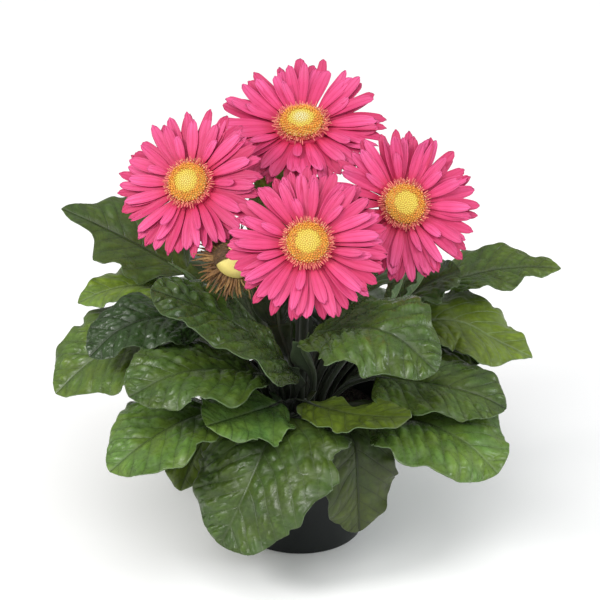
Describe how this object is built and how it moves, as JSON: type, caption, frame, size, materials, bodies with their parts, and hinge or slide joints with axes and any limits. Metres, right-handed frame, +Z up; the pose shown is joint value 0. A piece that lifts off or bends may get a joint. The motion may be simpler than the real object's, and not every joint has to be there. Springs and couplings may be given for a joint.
{
  "type": "potted gerbera",
  "caption": "Flowering house plant: a rosette of broad lobed leaves with pink daisy flowers on bare stems, in a round tapered plastic nursery pot.",
  "frame": {"origin": "middle of the pot's underside, on the surface it stands on", "axes": "+Z up; the front of the plant, which the picture shows, faces -Y; +X to the right seen from the front"},
  "size_m": [0.2973, 0.2369, 0.2632],
  "materials": {
    "pot_plastic": "satin charcoal moulded plastic",
    "soil_peat": "rough dark peat",
    "leaf_green": "semi-gloss puckered mid-green leaf",
    "leaf_dark": "semi-gloss puckered dark green leaf",
    "leaf_blue": "semi-gloss puckered blue-green leaf",
    "leaf_light": "semi-gloss puckered light green leaf",
    "leaf_yellow": "satin yellow-green leaf",
    "scape_green": "downy pale green stem",
    "ray_pink": "satin hot pink petal",
    "fringe_salmon": "matte salmon-pink florets",
    "disc_yellow": "matte yellow florets",
    "spent_yellow": "matte pale yellow dome",
    "spent_brown": "dry withered brown florets"
  },
  "bodies": {
    "root": {"disc_front": "disc_yellow", "disc_left": "disc_yellow", "disc_right": "disc_yellow", "disc_spent": "spent_yellow", "disc_top": "disc_yellow", "florets_spent": "spent_brown", "fringe_front": "fringe_salmon", "fringe_left": "fringe_salmon", "fringe_right": "fringe_salmon", "fringe_top": "fringe_salmon", "leaf_back": "leaf_light", "leaf_back_centre": "leaf_green", "leaf_back_high": "leaf_dark", "leaf_back_high_right": "leaf_green", "leaf_back_left": "leaf_green", "leaf_back_mid_left": "leaf_dark", "leaf_back_mid_right": "leaf_light", "leaf_back_right": "leaf_green", "leaf_back_right_dark": "leaf_dark", "leaf_blue_left": "leaf_blue", "leaf_bright_upright": "leaf_yellow", "leaf_bumpy_left": "leaf_dark", "leaf_dark_right": "leaf_dark", "leaf_far_left": "leaf_light", "leaf_front_centre": "leaf_green", "leaf_front_left": "leaf_green", "leaf_front_over": "leaf_blue", "leaf_glossy": "leaf_green", "leaf_hanging": "leaf_dark", "leaf_left_forward": "leaf_green", "leaf_low_left": "leaf_light", "leaf_low_right": "leaf_light", "leaf_olive_right": "leaf_green", "leaf_rear_upright": "leaf_dark", "leaf_under_left": "leaf_green", "leaf_upper_left": "leaf_dark", "leaf_upper_right": "leaf_green", "leaf_yellow_left": "leaf_yellow", "leaf_yellow_right": "leaf_yellow", "leaf_young_back": "scape_green", "leaf_young_front": "scape_green", "pot": "pot_plastic", "rays_front": "ray_pink", "rays_left": "ray_pink", "rays_right": "ray_pink", "rays_top": "ray_pink", "scape_front": "scape_green", "scape_left": "scape_green", "scape_right": "scape_green", "scape_spent": "scape_green", "scape_top": "scape_green", "soil": "soil_peat"}
  },
  "joints": []
}
